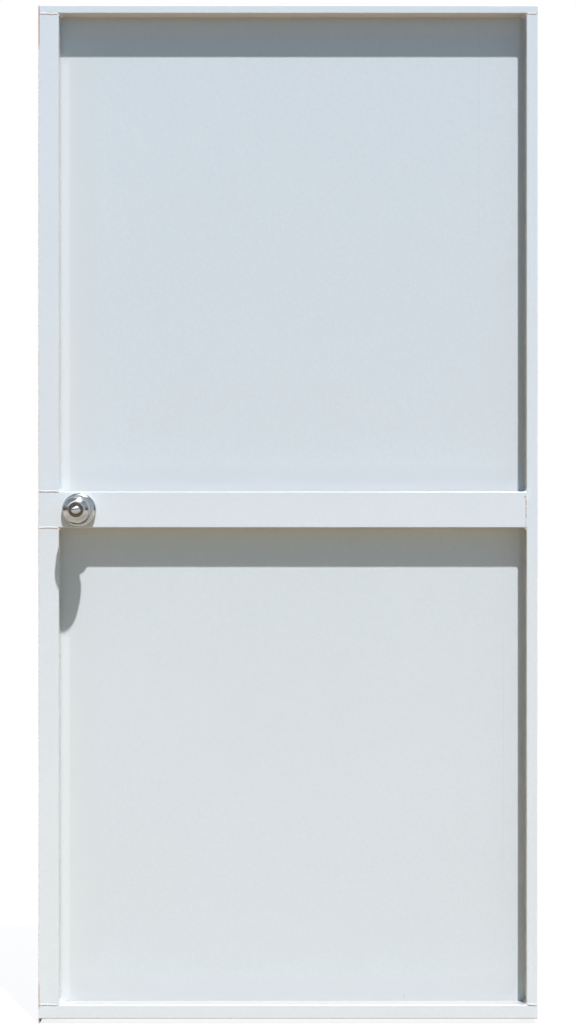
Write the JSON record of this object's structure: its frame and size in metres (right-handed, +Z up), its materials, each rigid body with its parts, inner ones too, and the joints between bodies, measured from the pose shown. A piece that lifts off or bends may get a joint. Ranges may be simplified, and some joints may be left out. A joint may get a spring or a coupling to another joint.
{
  "type": "single-skin door",
  "caption": "Steel door leaf of one flat skin in a tube border with a lock rail, a knob lockset and a spring latch, hung on butt hinges from a folded steel frame.",
  "frame": {"origin": "floor level under the middle of the overall width, in the middle of the leaf's thickness", "axes": "+X to the right seen from the front, +Y through the leaf to its back, +Z up"},
  "size_m": [1.007, 0.188, 2.04],
  "materials": {
    "white_paint": "satin white paint",
    "frame_paint": "satin white paint",
    "polished_steel": "polished",
    "plated_steel": "zinc plated",
    "seal_rubber": "matt black"
  },
  "bodies": {
    "frame": {"frame_head": "frame_paint", "frame_hinge_jamb": "frame_paint", "frame_latch_jamb": "frame_paint", "frame_latch_lip": "frame_paint", "frame_seal": "seal_rubber", "strike_plate": "plated_steel", "strike_screws": "plated_steel", "hinge_frame_screws": "plated_steel", "hinge_frame_leaf_bottom": "plated_steel", "hinge_frame_leaf_middle": "plated_steel", "hinge_frame_leaf_top": "plated_steel", "hinge_pin_bottom": "plated_steel", "hinge_pin_middle": "plated_steel", "hinge_pin_top": "plated_steel"},
    "leaf": {"skin_panel": "white_paint", "top_rail": "white_paint", "bottom_rail": "white_paint", "hinge_stile": "white_paint", "lock_stile_upper": "white_paint", "lock_stile_lower": "white_paint", "lock_rail": "white_paint", "hinge_door_leaf_bottom": "plated_steel", "hinge_door_leaf_middle": "plated_steel", "hinge_door_leaf_top": "plated_steel", "hinge_door_screws": "plated_steel", "latch_case": "plated_steel", "latch_faceplate": "plated_steel", "faceplate_screws": "plated_steel", "latch_spring": "plated_steel", "front_plate": "plated_steel", "back_plate": "plated_steel", "through_screws": "plated_steel", "front_rose": "polished_steel", "back_rose": "polished_steel"},
    "knobs": {"front_knob": "polished_steel", "back_knob": "polished_steel", "spindle": "plated_steel", "latch_hub": "plated_steel"},
    "lock": {"turn_button": "polished_steel", "lock_rod": "plated_steel", "key_plug": "polished_steel"},
    "latch": {"latch_bolt": "plated_steel"}
  },
  "joints": [
    {"name": "door_swing", "type": "hinge", "parent": "frame", "child": "leaf", "pos_m": [0.498, 0.0258, 0], "axis": [0, 0, 1], "range_deg": [0, 95]},
    {"name": "knob_turn", "type": "hinge", "parent": "leaf", "child": "knobs", "pos_m": [-0.418, 0, 1.0292], "axis": [0, 1, 0], "range_deg": [0, 45], "stiffness_Nm_per_rad": 0.4},
    {"name": "latch_slide", "type": "slide", "parent": "leaf", "child": "latch", "axis": [1, 0, 0], "range_m": [0, 0.006], "stiffness_N_per_m": 300, "deforming": ["latch_spring"]},
    {"name": "lock_turn", "type": "hinge", "parent": "knobs", "child": "lock", "pos_m": [-0.418, 0, 1.0292], "axis": [0, 1, 0], "range_deg": [0, 90]}
  ],
  "couplings": [
    {"joint": "latch_slide", "follows": "knob_turn", "m_per_rad": 0.00764}
  ]
}
